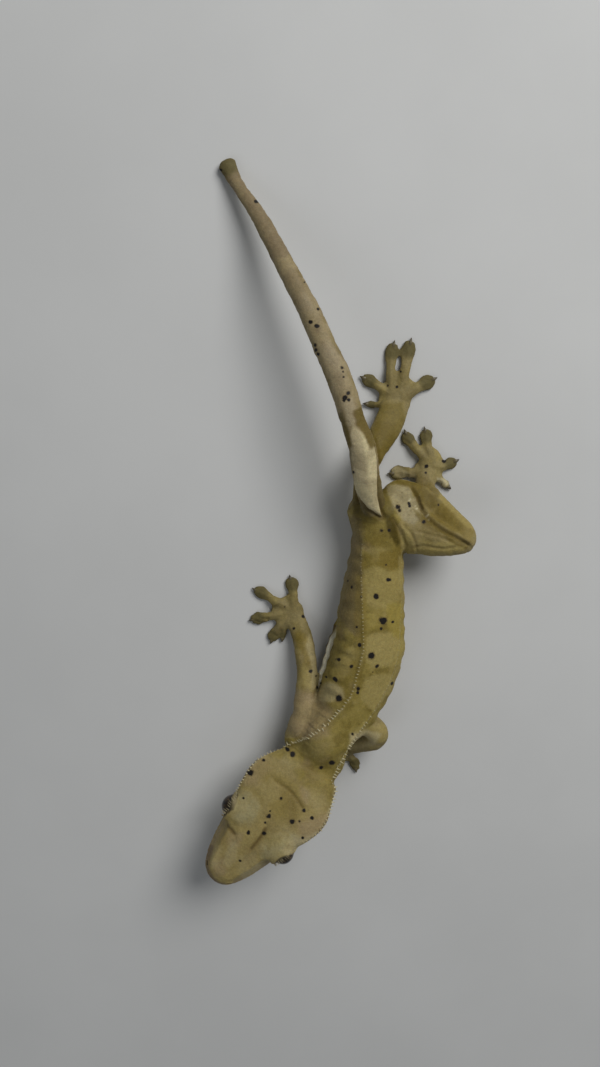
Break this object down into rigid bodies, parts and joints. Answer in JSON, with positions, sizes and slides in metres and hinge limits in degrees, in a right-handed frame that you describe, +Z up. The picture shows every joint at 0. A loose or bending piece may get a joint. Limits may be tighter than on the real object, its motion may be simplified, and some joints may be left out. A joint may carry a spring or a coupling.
{
  "type": "crested gecko model",
  "caption": "Life-size still model of a crested gecko: slim body, head lifted and turned to its right, spiky crests, arched tail, splayed toes, pale buff skin with dark spots.",
  "frame": {"origin": "on the floor, under the middle of the animal's overall box", "axes": "+Z up off the floor it rests on, +Y towards the tail, -Y towards the head, +X towards its left side"},
  "size_m": [0.064, 0.1716, 0.0205],
  "materials": {
    "skin": "satin, finely granular",
    "pale": "satin, finely granular",
    "pad": "matt, ribbed under the toes",
    "eye": "wet gloss"
  },
  "bodies": {
    "root": {"head": "pale", "lower_jaw": "pale", "neck": "skin", "trunk": "skin", "pelvis": "skin", "tail_base": "pale", "tail_middle": "skin", "tail_tip": "skin", "upper_arm_right": "skin", "forearm_right": "skin", "hand_right": "pad", "upper_arm_left": "skin", "forearm_left": "skin", "hand_left": "pad", "thigh_left": "skin", "shank_left": "skin", "foot_left": "pad", "thigh_right": "skin", "shank_right": "skin", "foot_right": "pad", "eye_left": "eye", "eye_right": "eye"}
  },
  "joints": []
}
